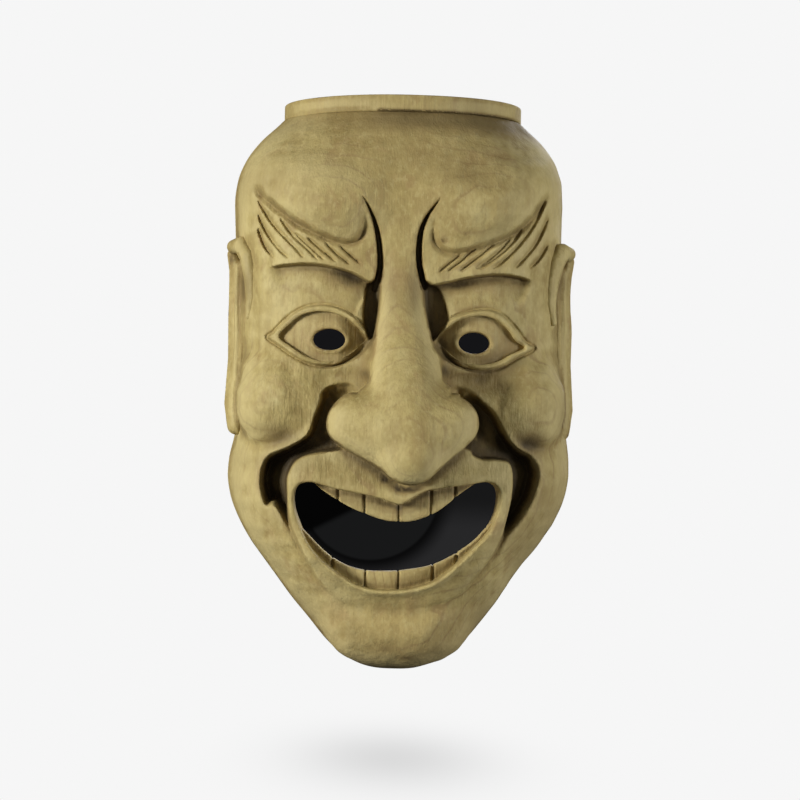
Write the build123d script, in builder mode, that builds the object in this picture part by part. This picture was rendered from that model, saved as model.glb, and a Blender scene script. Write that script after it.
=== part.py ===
"""Noh mask: a laughing old man's face in bare wood, hollowed from the back.

The face is one carved shell.  The crown rim, the two ears, the two pierced eyeballs and the two rows
of teeth are separate pieces that are let in or pegged on.

Frame, in millimetres: +Z up, the face looks along -Y, and +X is to the right of someone who looks at
the face.  The origin is the middle of the back plane, where the wearer's face goes in.
"""

import math
import os

from build123d import *

os.makedirs("parts", exist_ok=True)

# ---- driving dimensions -------------------------------------------------------------------------
WALL = 9.0  # shell thickness
CHIN_Z = -114.8  # lowest point
CROWN_Z = 108.0  # top of the shell, where the rim stands
SQUARENESS = 3.0  # exponent of the head's plan: 2 is an ellipse, more is squarer
GLUE_LINE = 0.05  # gap left between glued faces

# Plan of the head at each level: height, half width, depth from the back plane to the front.
HEAD_LEVELS = [
    (CHIN_Z, 14.0, 44.0),
    (-108.0, 24.0, 54.0),
    (-92.0, 37.5, 63.0),
    (-70.0, 53.5, 69.0),
    (-48.0, 67.0, 72.0),
    (-30.0, 67.5, 71.0),
    (0.0, 64.5, 66.0),
    (35.0, 65.0, 67.0),
    (65.0, 65.5, 69.0),
    (85.0, 63.0, 66.0),
    (99.0, 56.5, 60.0),
    (CROWN_Z, 48.5, 53.0),
]
PLAN_TURNS = (0, 25, 45, 65, 90, 115, 135, 155, 180)  # where each plan's spline has a point
HOLLOW_BOTTOM_Z, HOLLOW_TOP_Z = -104.0, 98.0
HOLLOW_BACK = 5.0  # how far the hollow's cutter stands behind the back plane

# Crown rim: a band that stands on the shell's top edge.
RIM_HEIGHT, RIM_WIDTH = 6.4, 9.0

# Nose: height, half width, how far its middle is from the back plane, half depth.
NOSE_LEVELS = [
    (66.0, 4.0, 60.0, 8.0),
    (50.0, 6.5, 60.0, 10.5),
    (28.0, 9.5, 60.0, 16.5),
    (2.0, 15.0, 60.0, 25.0),
    (-18.0, 20.0, 62.0, 34.0),
    (-33.0, 15.0, 64.0, 36.0),
    (-41.0, 7.0, 66.0, 27.0),
]
NOSTRIL_X, NOSTRIL_DEPTH, NOSTRIL_Z, NOSTRIL_RADIUS = 18.0, 66.0, -18.0, 13.0
NOSE_HOLLOW_DEPTH, NOSE_HOLLOW_Z, NOSE_HOLLOW_RADIUS = 58.0, -14.0, 15.0

# Rounded masses of the face: distance from the middle, depth, height, radius.
CHEEK_X, CHEEK_DEPTH, CHEEK_Z, CHEEK_RADIUS = 44.0, 46.0, -9.0, 19.0
CHIN_DEPTH, CHIN_BALL_Z, CHIN_RADIUS = 48.0, -92.0, 20.0

# Brows, and the slots between them and the nose.
BROW_PROUD = 4.0
SLOT_DEPTH = 5.0

# Eyes: the almond of the opening, and the sight hole through the eyeball.
EYE_X, EYE_Z = 32.6, 16.8
EYE_HALF_WIDTH, EYE_HALF_HEIGHT = 17.0, 9.0
LID_WIDTH, LID_PROUD = 3.6, 2.5
EYE_SEAT_LIP = 2.0  # how far the eyeball reaches behind the lid
EYE_RECESS = 3.5  # how far the eyeball lies below the face
SIGHT_X, SIGHT_Z, SIGHT_HALF_WIDTH, SIGHT_HALF_HEIGHT = 29.4, 16.2, 6.4, 4.2

# Mouth: a crescent with its ends up, in a muzzle that stands proud of the face.
MUZZLE_PROUD = 4.0
MOUTH_HALF_WIDTH, MOUTH_CORNER_Z, MOUTH_TOP_Z = 40.0, -46.0, -42.0
LIP_DIP_Z, MOUTH_BOTTOM_Z = -49.0, -83.0
TEETH_RECESS = 4.5  # how far the teeth lie behind the face
UPPER_TEETH_TOP_Z, UPPER_TEETH_EDGE_Z = -37.0, -56.4
UPPER_TEETH_HALF_WIDTH, UPPER_TEETH_END_Z = 34.0, -43.0
LOWER_TEETH_EDGE_Z, LOWER_TEETH_BOTTOM_Z = -75.5, -91.0
LOWER_TEETH_HALF_WIDTH, LOWER_TEETH_END_Z, LOWER_TEETH_FOOT_Z = 35.0, -63.0, -74.0
TOOTH_PITCH, TOOTH_JOINTS = 13.2, 5
TOOTH_CUT_WIDTH, TOOTH_CUT_DEPTH = 0.8, 1.2

# Ears, in pockets cut in the side walls.
EAR_SEAT_X, EAR_THICKNESS = 61.5, 8.2
EAR_OUTLINE = [
    (-23.0, 58.0),
    (-33.0, 51.0),
    (-36.0, 36.0),
    (-31.0, 14.0),
    (-32.0, -10.0),
    (-25.0, -22.0),
    (-18.0, -12.0),
    (-16.0, 6.0),
    (-11.5, 28.0),
    (-13.0, 48.0),
]  # y, then z, from the top of the curl round the front edge
EAR_MIDDLE, EAR_FIT = (-24.0, 18.0), 0.99
CONCHA_PLACE = (-23.5, 30.0)  # y, z
CONCHA_DEPTH, CONCHA_HALF_WIDTH, CONCHA_HALF_HEIGHT = 3.0, 6.0, 17.0

# Pegs and cord holes.
PEG_RADIUS, PEG_CLEARANCE = 2.0, 0.02
PEG_REACH = 4.5  # how far a peg goes into each of the two pieces that it joins
EAR_PEGS = [(-24.0, 34.0), (-25.0, -4.0)]  # places on an ear's seat: y, z
RIM_PEG_TURNS = (20, 90, 160)  # directions from the middle
RIM_PEG_HALF_WIDTH = HEAD_LEVELS[-1][1] - RIM_WIDTH / 2
RIM_PEG_DEPTH = HEAD_LEVELS[-1][2] - RIM_WIDTH / 2
CORD_HOLE_RADIUS, CORD_HOLE_DEPTH, CORD_HOLE_Z = 2.5, 6.5, 30.0

FRONT = Plane.XZ  # its normal is -Y, so a sketch on it extrudes towards the viewer
REACH = 120.0  # long enough to pass through the whole mask


# ---- shapes shared by several pieces ------------------------------------------------------------
def plan_point(half_width, depth, turn):
    """A point of the head's plan, a superellipse, at an angle from 0 (right) to 180 (left)."""
    across, forward = math.cos(math.radians(turn)), math.sin(math.radians(turn))
    power = 2 / SQUARENESS
    return (
        math.copysign(abs(across) ** power, across) * half_width,
        -(abs(forward) ** power) * depth,
    )


def size_at(z):
    """Half width and depth of the head at a height, between the levels on each side of it."""
    below = max(level for level in HEAD_LEVELS if level[0] <= z)
    above = min(level for level in HEAD_LEVELS if level[0] >= z)
    share = 0.0 if above[0] == below[0] else (z - below[0]) / (above[0] - below[0])
    return tuple(b + share * (a - b) for b, a in zip(below[1:], above[1:]))


def head_form(grow=0.0, back=0.0, bottom=CHIN_Z, top=CROWN_Z):
    """The head lofted through its levels, thicker by grow, from the plane y = back forwards."""
    levels = [level for level in HEAD_LEVELS if bottom < level[0] < top]
    levels += [(z, *size_at(z)) for z in (bottom, top)]
    with BuildPart() as form:
        for z, half_width, depth in sorted(levels):
            right, deep = half_width + grow, depth + grow
            with BuildSketch(Plane.XY.offset(z)):
                with BuildLine():
                    Spline(*[plan_point(right, deep, turn) for turn in PLAN_TURNS])
                    if back:
                        Polyline((-right, 0), (-right, back), (right, back), (right, 0))
                    else:
                        Line((-right, 0), (right, 0))
                make_face()
        loft()
    return form.part


def almond(grow=0.0):
    """The right eye's outline: two arcs that meet in a point at each corner, wider by grow."""
    left = (EYE_X - EYE_HALF_WIDTH - grow, EYE_Z)
    right = (EYE_X + EYE_HALF_WIDTH + grow, EYE_Z)
    with BuildSketch(FRONT) as outline:
        with BuildLine():
            ThreePointArc(left, (EYE_X, EYE_Z + EYE_HALF_HEIGHT + grow), right)
            ThreePointArc(right, (EYE_X, EYE_Z - EYE_HALF_HEIGHT - grow), left)
        make_face()
    return outline.sketch


def upper_teeth_outline(grow=0.0):
    """The upper row: straight where the lip hides it, and an arc along its biting edge."""
    half, end = UPPER_TEETH_HALF_WIDTH + grow, UPPER_TEETH_END_Z - grow
    top = UPPER_TEETH_TOP_Z + grow
    with BuildSketch(FRONT) as outline:
        with BuildLine():
            Polyline((-half, end), (-half, top), (half, top), (half, end))
            ThreePointArc((half, end), (0, UPPER_TEETH_EDGE_Z - grow), (-half, end))
        make_face()
    return outline.sketch


def lower_teeth_outline(grow=0.0):
    """The lower row: an arc along its biting edge, and another where the lip hides its foot."""
    half = LOWER_TEETH_HALF_WIDTH + grow
    end, foot = LOWER_TEETH_END_Z + grow, LOWER_TEETH_FOOT_Z - grow
    with BuildSketch(FRONT) as outline:
        with BuildLine():
            ThreePointArc((-half, end), (0, LOWER_TEETH_EDGE_Z + grow), (half, end))
            Line((half, end), (half, foot))
            ThreePointArc((half, foot), (0, LOWER_TEETH_BOTTOM_Z - grow), (-half, foot))
            Line((-half, foot), (-half, end))
        make_face()
    return outline.sketch


def ear_outline(fit=1.0):
    """The right ear seen from the side; fit shrinks it about its middle to clear its pocket."""
    middle_y, middle_z = EAR_MIDDLE
    points = [
        (middle_y + fit * (y - middle_y), middle_z + fit * (z - middle_z)) for y, z in EAR_OUTLINE
    ]
    with BuildSketch(Plane.YZ.offset(EAR_SEAT_X)) as outline:
        with BuildLine():
            Spline(*points, periodic=True)
        make_face()
    return outline.sketch


# The head at the depths that the other pieces need, and the outlines that several pieces share.
head = head_form()
hollow = head_form(grow=-WALL, back=HOLLOW_BACK, bottom=HOLLOW_BOTTOM_Z, top=HOLLOW_TOP_Z)
muzzle_form, brow_form, lid_form = map(head_form, (MUZZLE_PROUD, BROW_PROUD, LID_PROUD))
slot_floor, eye_form, teeth_form = map(head_form, (-SLOT_DEPTH, -EYE_RECESS, -TEETH_RECESS))
eyeball_form = head_form(grow=-EYE_RECESS - GLUE_LINE)
tooth_form = head_form(grow=-TEETH_RECESS - GLUE_LINE)
tooth_cut_floor = head_form(grow=-TEETH_RECESS - TOOTH_CUT_DEPTH)
lid_outline, eye_outline = almond(LID_WIDTH), almond()
eye_seat_outline, eyeball_outline = almond(EYE_SEAT_LIP), almond(EYE_SEAT_LIP - GLUE_LINE)
upper_seat_outline, upper_row_outline = upper_teeth_outline(), upper_teeth_outline(-GLUE_LINE)
lower_seat_outline, lower_row_outline = lower_teeth_outline(), lower_teeth_outline(-GLUE_LINE)
ear_seat_profile, ear_profile = ear_outline(), ear_outline(EAR_FIT)
rim_peg_spots = [
    (*plan_point(RIM_PEG_HALF_WIDTH, RIM_PEG_DEPTH, turn), CROWN_Z) for turn in RIM_PEG_TURNS
]


# ---- raised masses of the face ------------------------------------------------------------------
with BuildPart() as muzzle:
    add(muzzle_form)
    with BuildSketch(FRONT):
        with BuildLine():
            Spline(
                (0, -27), (38, -31), (46, -42), (45, -56), (36, -76), (20, -92),
                (0, -97), (-20, -92), (-36, -76), (-45, -56), (-46, -42), (-38, -31),
                periodic=True,
            )  # fmt: skip
        make_face()
    extrude(amount=REACH, mode=Mode.INTERSECT)

with BuildPart() as brow:
    add(brow_form)
    with BuildSketch(FRONT):
        with BuildLine():
            Spline((52, 71), (44, 62), (33, 58), (13, 55))
            Line((13, 55), (12, 39.5))
            Spline((12, 39.5), (27, 45), (40, 45.5), (50, 48.5))
            Line((50, 48.5), (52, 71))
        make_face()
    extrude(amount=REACH, mode=Mode.INTERSECT)

with BuildPart() as lid:
    add(lid_form)
    extrude(lid_outline, amount=REACH, mode=Mode.INTERSECT)

with BuildPart() as nose:
    for z, half_width, middle_depth, half_depth in NOSE_LEVELS:
        with BuildSketch(Plane.XY.offset(z)):
            with Locations((0, -middle_depth)):
                Ellipse(half_width, half_depth)
    loft()
    for side in (-1, 1):
        with Locations((side * NOSTRIL_X, -NOSTRIL_DEPTH, NOSTRIL_Z)):
            Sphere(NOSTRIL_RADIUS)

# The slot on each side of the nose bridge, open at the front and as deep as its floor allows.
with BuildPart() as brow_slot:
    with BuildSketch(FRONT):
        with BuildLine():
            ThreePointArc((16.5, 74), (10.2, 57), (8.6, 35))
            Line((8.6, 35), (12.4, 35))
            ThreePointArc((12.4, 35), (12.0, 57), (16.5, 74))
        make_face()
    extrude(amount=REACH)
    add(slot_floor, mode=Mode.SUBTRACT)


# ---- what is cut out of the face ----------------------------------------------------------------
with BuildPart() as mouth_opening:
    with BuildSketch(FRONT):
        with BuildLine():
            ThreePointArc((0, LIP_DIP_Z), (18, -44), (35, MOUTH_TOP_Z))
            ThreePointArc((35, MOUTH_TOP_Z), (39, -43), (MOUTH_HALF_WIDTH, MOUTH_CORNER_Z))
            ThreePointArc(
                (MOUTH_HALF_WIDTH, MOUTH_CORNER_Z),
                (0, MOUTH_BOTTOM_Z),
                (-MOUTH_HALF_WIDTH, MOUTH_CORNER_Z),
            )
            ThreePointArc((-MOUTH_HALF_WIDTH, MOUTH_CORNER_Z), (-39, -43), (-35, MOUTH_TOP_Z))
            ThreePointArc((-35, MOUTH_TOP_Z), (-18, -44), (0, LIP_DIP_Z))
        make_face()
    extrude(amount=REACH)

with BuildPart() as eye_opening:
    extrude(eye_outline, amount=REACH)

with BuildPart() as eye_pocket:
    add(eye_form)
    extrude(eye_seat_outline, amount=REACH, mode=Mode.INTERSECT)

with BuildPart() as upper_teeth_pocket:
    add(teeth_form)
    extrude(upper_seat_outline, amount=REACH, mode=Mode.INTERSECT)

with BuildPart() as lower_teeth_pocket:
    add(teeth_form)
    extrude(lower_seat_outline, amount=REACH, mode=Mode.INTERSECT)

with BuildPart() as ear_pocket:
    extrude(ear_seat_profile, amount=REACH)
    for y, z in EAR_PEGS:
        with Locations(Location((EAR_SEAT_X, y, z), (0, 90, 0))):
            Cylinder(PEG_RADIUS + PEG_CLEARANCE, 2 * PEG_REACH)

with BuildPart() as cord_hole:
    with Locations(Location((size_at(CORD_HOLE_Z)[0], -CORD_HOLE_DEPTH, CORD_HOLE_Z), (0, 90, 0))):
        Cylinder(CORD_HOLE_RADIUS, 3 * WALL)


# ---- face shell ---------------------------------------------------------------------------------
with BuildPart() as face_shell:
    add(head)
    add(muzzle.part)
    for mass in (brow, lid):
        add(mass.part)
        add(mirror(mass.part, about=Plane.YZ, mode=Mode.PRIVATE))
    for side in (-1, 1):
        with Locations((side * CHEEK_X, -CHEEK_DEPTH, CHEEK_Z)):
            Sphere(CHEEK_RADIUS)
    with Locations((0, -CHIN_DEPTH, CHIN_BALL_Z)):
        Sphere(CHIN_RADIUS)
    add(nose.part)
    add(hollow, mode=Mode.SUBTRACT)
    with Locations((0, -NOSE_HOLLOW_DEPTH, NOSE_HOLLOW_Z)):
        Sphere(NOSE_HOLLOW_RADIUS, mode=Mode.SUBTRACT)
    for cut in (brow_slot, eye_opening, eye_pocket, ear_pocket, cord_hole):
        add(cut.part, mode=Mode.SUBTRACT)
        add(mirror(cut.part, about=Plane.YZ, mode=Mode.PRIVATE), mode=Mode.SUBTRACT)
    for cut in (mouth_opening, upper_teeth_pocket, lower_teeth_pocket):
        add(cut.part, mode=Mode.SUBTRACT)
    for spot in rim_peg_spots:
        with Locations(spot):
            Cylinder(PEG_RADIUS + PEG_CLEARANCE, 2 * PEG_REACH, mode=Mode.SUBTRACT)


# ---- pieces let into the shell ------------------------------------------------------------------
with BuildPart() as eyeball_right:
    add(eyeball_form)
    extrude(eyeball_outline, amount=REACH, mode=Mode.INTERSECT)
    add(hollow, mode=Mode.SUBTRACT)
    with BuildSketch(FRONT):
        with Locations((SIGHT_X, SIGHT_Z)):
            Ellipse(SIGHT_HALF_WIDTH, SIGHT_HALF_HEIGHT)
    extrude(amount=REACH, mode=Mode.SUBTRACT)

with BuildPart() as tooth_cuts:
    with BuildSketch(FRONT):
        with GridLocations(TOOTH_PITCH, 0, TOOTH_JOINTS, 1):
            Rectangle(TOOTH_CUT_WIDTH, 2 * REACH)
    extrude(amount=REACH)
    add(tooth_cut_floor, mode=Mode.SUBTRACT)

with BuildPart() as upper_teeth:
    add(tooth_form)
    extrude(upper_row_outline, amount=REACH, mode=Mode.INTERSECT)
    add(hollow, mode=Mode.SUBTRACT)
    add(tooth_cuts.part, mode=Mode.SUBTRACT)

with BuildPart() as lower_teeth:
    add(tooth_form)
    extrude(lower_row_outline, amount=REACH, mode=Mode.INTERSECT)
    add(hollow, mode=Mode.SUBTRACT)
    add(tooth_cuts.part, mode=Mode.SUBTRACT)


# ---- pieces pegged on ---------------------------------------------------------------------------
with BuildPart() as crown_rim:
    with BuildSketch(Plane.XY.offset(CROWN_Z)):
        for inset, mode in ((0, Mode.ADD), (RIM_WIDTH, Mode.SUBTRACT)):
            half_width, depth = HEAD_LEVELS[-1][1] - inset, HEAD_LEVELS[-1][2] - inset
            with BuildLine():
                Spline(*[plan_point(half_width, depth, turn) for turn in PLAN_TURNS])
                Line((-half_width, 0), (half_width, 0))
            make_face(mode=mode)
    extrude(amount=RIM_HEIGHT)
    for spot in rim_peg_spots:
        with Locations(spot):
            Cylinder(PEG_RADIUS + PEG_CLEARANCE, 2 * PEG_REACH, mode=Mode.SUBTRACT)

with BuildPart() as ear_right:
    extrude(ear_profile, amount=EAR_THICKNESS)
    with BuildSketch(Plane.YZ.offset(EAR_SEAT_X + EAR_THICKNESS)):
        with Locations(CONCHA_PLACE):
            Ellipse(CONCHA_HALF_WIDTH, CONCHA_HALF_HEIGHT)
    extrude(amount=-CONCHA_DEPTH, mode=Mode.SUBTRACT)
    for y, z in EAR_PEGS:
        with Locations(Location((EAR_SEAT_X, y, z), (0, 90, 0))):
            Cylinder(PEG_RADIUS + PEG_CLEARANCE, 2 * PEG_REACH, mode=Mode.SUBTRACT)

with BuildPart() as crown_pegs:
    for spot in rim_peg_spots:
        with Locations(spot):
            Cylinder(PEG_RADIUS, 2 * PEG_REACH)

with BuildPart() as ear_pegs_right:
    for y, z in EAR_PEGS:
        with Locations(Location((EAR_SEAT_X, y, z), (0, 90, 0))):
            Cylinder(PEG_RADIUS, 2 * PEG_REACH)


# ---- hand out -----------------------------------------------------------------------------------
pieces = {
    "face_shell": face_shell.part,
    "crown_rim": crown_rim.part,
    "ear_right": ear_right.part,
    "ear_left": mirror(ear_right.part, about=Plane.YZ),
    "eyeball_right": eyeball_right.part,
    "eyeball_left": mirror(eyeball_right.part, about=Plane.YZ),
    "upper_teeth": upper_teeth.part,
    "lower_teeth": lower_teeth.part,
    "crown_pegs": crown_pegs.part,
    "ear_pegs_right": ear_pegs_right.part,
    "ear_pegs_left": mirror(ear_pegs_right.part, about=Plane.YZ),
}
for name, piece in pieces.items():
    piece.label = name
    export_step(piece, f"parts/{name}.step")
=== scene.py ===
"""Looks of the noh mask: each wooden piece is sculpted as a solid field in millimetres, in the CAD frame.

+Z is up, the face looks along -Y, +X is to the right of someone who looks at it, and y = 0 is the back.
"""

import math
from concurrent.futures import ThreadPoolExecutor

import bpy
import numpy as np
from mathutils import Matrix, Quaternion, Vector


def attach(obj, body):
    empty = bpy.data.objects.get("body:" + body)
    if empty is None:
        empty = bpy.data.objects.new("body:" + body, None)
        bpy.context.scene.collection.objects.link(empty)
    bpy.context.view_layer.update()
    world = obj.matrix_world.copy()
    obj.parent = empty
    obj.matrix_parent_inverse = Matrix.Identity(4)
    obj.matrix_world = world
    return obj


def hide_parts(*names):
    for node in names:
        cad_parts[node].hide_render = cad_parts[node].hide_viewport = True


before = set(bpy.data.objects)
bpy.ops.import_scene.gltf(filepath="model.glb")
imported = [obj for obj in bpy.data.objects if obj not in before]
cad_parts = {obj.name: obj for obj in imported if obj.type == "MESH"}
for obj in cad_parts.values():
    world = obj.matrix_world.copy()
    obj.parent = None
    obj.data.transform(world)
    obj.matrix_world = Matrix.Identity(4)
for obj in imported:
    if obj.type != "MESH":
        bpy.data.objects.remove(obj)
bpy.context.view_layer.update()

VOXEL = 0.45  # grid step of every piece
SLAB = 8  # levels of a grid that are worked out together
TRIANGLES = 190_000  # most that one piece may have
TURN = 6.283  # radians
BIG = 99.0  # stands for a distance that isn't worked out

# ---- the head: height, half width to the left and to the right, depth from the back plane
HEAD = np.array([
    (-116, 15, 15, 42), (-112.8, 20, 20, 48), (-105, 28.4, 30.3, 56), (-97, 34.6, 36.5, 60.5),
    (-88.5, 42, 42.8, 63.5), (-80, 48.2, 47.8, 66), (-72, 54.2, 53.3, 68), (-65, 59.5, 59.2, 69.5),
    (-57, 64, 64.6, 71), (-49, 67.4, 68.6, 71.5), (-40, 69.1, 70.8, 71), (-31, 68.4, 71, 69.5),
    (-23, 66.2, 70, 68), (-8, 65.6, 67.2, 66.3), (9, 66.2, 66.5, 65.4), (34, 66.8, 66, 66),
    (58, 67.6, 66, 67.6), (74, 68.3, 66.2, 68), (83, 66.8, 65.4, 66.6), (91, 63.2, 63.2, 64),
    (99, 57.2, 58, 60), (103, 52.2, 53.2, 57), (108, 47.4, 47.9, 53),
])
CROWN, CHIN, WALL = 106.8, -115.2, 9.0
SIGHTLINE, ASIDE = 1089.4, -36.6  # how far the camera is in front of the back plane, and to the side
TRUE_DEPTH = 40.0  # depth at which the drawing has its true size

# ---- the drawing of the front: x and z, as they look from a metre away
CREASE = {
    -1: [
        (-60, 80.5), (-58, 76.1), (-52.7, 71), (-47.4, 66.9), (-41.6, 62.8), (-34.5, 59.1), (-28.3, 56.4),
        (-22.6, 55.2), (-18.2, 56.6), (-16.4, 60.4), (-16.2, 66), (-17.4, 72),
    ],
    1: [
        (61.5, 81), (56.1, 72.8), (51.6, 66.6), (45.5, 61.3), (38.5, 57.5), (31.5, 54.9), (25, 52.8),
        (19, 52.4), (14.6, 54.6), (12.9, 59), (13, 65), (14.4, 71),
    ],
}
BROW_EDGE = {
    -1: [(-54, 45.2), (-44.3, 46.3), (-35.6, 46.5), (-27.3, 45.2), (-20, 43.2), (-11.5, 38.9)],
    1: [(54, 42), (46.2, 43.4), (39.9, 43.9), (32.6, 43.3), (25.4, 42), (18.2, 40.1), (9.5, 38.2)],
}
HAIRS = {
    -1: [
        [(-58.4, 72.3), (-53, 63.9), (-48.2, 58.4), (-42.4, 52.4), (-39.5, 49.1)],
        [(-58.3, 66.7), (-54.8, 59.7), (-49.9, 53.1), (-45.6, 49)],
        [(-58.2, 61), (-56.6, 56.8), (-54.7, 53), (-51.4, 49.2)],
        [(-49.2, 65), (-44.4, 58.5), (-38.6, 52.9), (-33.8, 48.3)],
        [(-43, 58.8), (-37.3, 53.6), (-31.2, 48.2)],
        [(-38, 57), (-32.9, 52.6), (-26.6, 47.6)],
        [(-31, 55.2), (-26.3, 50.6), (-21, 46.6)],
        [(-25, 53.8), (-21.1, 50.4), (-17, 47.2)],
    ],
    1: [
        [(58.4, 75), (54, 65.5), (48, 57), (41.6, 50.2), (36.5, 46.3)],
        [(60, 68), (55.5, 58.5), (51, 52.5), (46, 47)],
        [(60, 57), (56.5, 51.5), (52, 47)],
        [(48.2, 62.4), (43.6, 56), (37.5, 50.4), (31, 46)],
        [(43, 57.6), (37, 51.6), (30, 46)],
        [(36.5, 55.6), (30, 50.2), (23.5, 45.2)],
        [(29, 53.8), (24, 49.2), (18.2, 44.6)],
        [(23.6, 51.6), (18.5, 47.6), (14.8, 44.4)],
    ],
}
SLOT = {
    -1: [
        (-18.8, 75.4), (-15.4, 71.8), (-12, 65.3), (-10.2, 59.6), (-9.1, 52.6), (-8.9, 46), (-10, 39.3),
        (-11, 36),
    ],
    1: [(15.9, 75), (13.3, 71.8), (9.5, 66.2), (7.3, 60.5), (6.6, 54), (6.9, 47), (8.3, 41), (9.6, 37)],
}
CLIFF = {
    -1: [
        (-8.8, 42), (-9.3, 34), (-9.5, 26.7), (-10.3, 20.4), (-13.6, 14.5), (-17.8, 10), (-24.1, 6.5),
        (-29.9, 5.4), (-38, 6.8),
    ],
    1: [
        (7.6, 42), (8.8, 34), (10.2, 25), (12, 19.4), (15.3, 13.6), (18.8, 9.6), (24, 6.6), (29.5, 5.2),
        (38, 5.6),
    ],
}
EYE = {
    -1: [
        (-48.8, 17.3), (-44.8, 22.1), (-40, 25.8), (-34.2, 27.4), (-27.9, 27), (-22, 25), (-17.6, 21.7),
        (-13.9, 17.4), (-16, 14.6), (-20.3, 11), (-26, 8.2), (-32.3, 7.9), (-38.7, 10.1), (-44.6, 13.8),
    ],
    1: [
        (50.2, 14.9), (46.4, 17.4), (43.4, 21.4), (39.4, 25), (34.9, 26.7), (29.1, 26.8), (23.3, 25.2),
        (18.5, 22), (14.7, 17.5), (17.7, 13.7), (21.7, 10.3), (26.6, 8), (33.4, 7.7), (39.7, 9.3),
        (44.8, 12.2),
    ],
}
LID = {
    -1: [
        (-53.5, 16.8), (-51.5, 18.7), (-47.2, 23.2), (-42.9, 26.9), (-37.2, 29.6), (-30.4, 30.2),
        (-24.5, 28.9), (-19.2, 26.1), (-15.2, 22.4), (-12, 18), (-13.6, 14), (-17.8, 10), (-23.1, 6.9),
        (-28.9, 5.6), (-35.7, 6.3), (-42.6, 9.3), (-48.5, 13.2),
    ],
    1: [
        (54.5, 14.6), (50.6, 17.4), (45.9, 23), (41.9, 26.9), (37.8, 29.1), (32.9, 29.8), (26.2, 28.6),
        (20.4, 26.1), (16.4, 22.8), (12.6, 18.4), (14.6, 13.4), (19.4, 9.2), (25.4, 6.2), (33.4, 5.2),
        (40.6, 6.6), (47, 10.4),
    ],
}
SIGHT = {-1: (-28.5, 16.4), 1: (29.6, 16.2)}
FURROW = {
    -1: [
        (-19, -2.6), (-25, -2.4), (-29.4, -3.8), (-31.3, -9), (-33.3, -14.5), (-36.2, -22.2), (-43.3, -27),
        (-51, -30.4), (-54.1, -34.9), (-54.9, -41), (-54, -46.6), (-52.3, -50.4), (-49.4, -50),
        (-46.6, -53.1), (-42.6, -61), (-38.3, -69.2), (-33.5, -77.3), (-29, -83), (-27, -78), (-33, -66),
        (-36, -58), (-36, -48), (-34, -41), (-28, -37), (-18, -34), (-12, -26), (-12, -12),
    ],
    1: [
        (22, -3.2), (27, -4), (32.6, -7.4), (37.8, -12), (43.2, -21.2), (47.6, -26), (53.6, -29),
        (57, -34.6), (56.4, -40.7), (53.9, -47.9), (49.9, -54.6), (45.5, -61.4), (40.6, -69.4), (35, -78),
        (31, -78), (34, -66), (36, -56), (37, -46), (35, -39), (28, -37), (20, -34), (14, -27), (14, -14),
    ],
}
RECESS = {
    -1: [
        (-13.4, 38.4), (-10.6, 40.6), (-8.6, 37.9), (-8.4, 26.7), (-9.6, 19), (-12.4, 17.4), (-14.6, 22.6),
        (-15, 31.4),
    ],
    1: [
        (8.4, 40), (11.6, 39.4), (15.4, 36.2), (18, 30.2), (18.6, 24.4), (14.6, 18.6), (11.2, 16.8),
        (9.2, 24), (7.8, 31.9),
    ],
}
MUZZLE = [
    (-29, -83), (-35.2, -73.8), (-39.4, -65.7), (-42.6, -58.1), (-43.9, -51.5), (-44.4, -41),
    (-43.8, -37.2), (-41.3, -32.8), (-36.4, -29.8), (-22.9, -26.8), (-10, -23), (10, -23), (27.2, -25.5),
    (30.3, -28.5), (33.9, -30.2), (39.4, -30.2), (44.4, -31.2), (46.3, -34.6), (46.6, -40.9), (46, -47.1),
    (44.3, -54.7), (42.3, -62.4), (38.8, -69.6), (33, -78), (24, -87), (0, -92), (-19, -90),
]
MOUTH = [
    (-35.8, -42), (-31.2, -42.4), (-23, -43.5), (-15.3, -44.8), (-7.7, -46.4), (-2.6, -48), (0.6, -49),
    (3.4, -48), (8.2, -45.2), (13.3, -43), (20.9, -41.5), (30.1, -40.4), (36.2, -40.5), (39.4, -42.2),
    (40.4, -46.1), (39.5, -52.3), (36.6, -58.5), (31.6, -65.4), (24.6, -73), (18.1, -78.6), (11.5, -82),
    (3, -84), (-6.9, -84.2), (-14, -82.8), (-19.7, -80.1), (-27.5, -74.1), (-34.3, -65.6), (-38, -58),
    (-40.2, -51.4), (-40.4, -46.3), (-39, -43.1),
]
UPPER_EDGE = [
    (-36, -38.5), (-30.7, -43.4), (-23.4, -48), (-17.8, -50.9), (-12.6, -53), (-4.9, -55.4), (0.8, -55.9),
    (5.9, -55.6), (10.9, -54), (16, -51.6), (21, -47.8), (25, -44.4), (32, -39.5),
]
LOWER_EDGE = [
    (-36, -61.5), (-30.2, -67.2), (-25.5, -71), (-19, -74.4), (-12.1, -76), (-5, -76.2), (1.2, -75.9),
    (7.3, -75), (13.9, -73.6), (20, -71), (26, -67.4), (31.6, -63.2), (36, -58.4),
]
UPPER_CUTS = (-23.6, -13, 0.6, 13.4, 23)
LOWER_CUTS = (-25.4, -12.1, 1.2, 15.2, 24.6)
NOSE_EDGE = [
    (-22, -2.4), (-24.8, -6.2), (-28.8, -11.4), (-30.3, -17), (-28.8, -22.6), (-22.9, -26.8),
    (-17.7, -29.5), (-10.5, -33.9), (-6.8, -37.6), (-2.7, -40.4), (1.4, -41.6), (5.6, -41.9), (9.6, -40.9),
    (13.2, -38.6), (17.2, -34.9), (22.2, -29.7), (27.2, -25.2), (30.4, -21.9), (32.1, -17.5),
    (31.6, -12.5), (29, -8.4), (24.5, -5.2),
]

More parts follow.
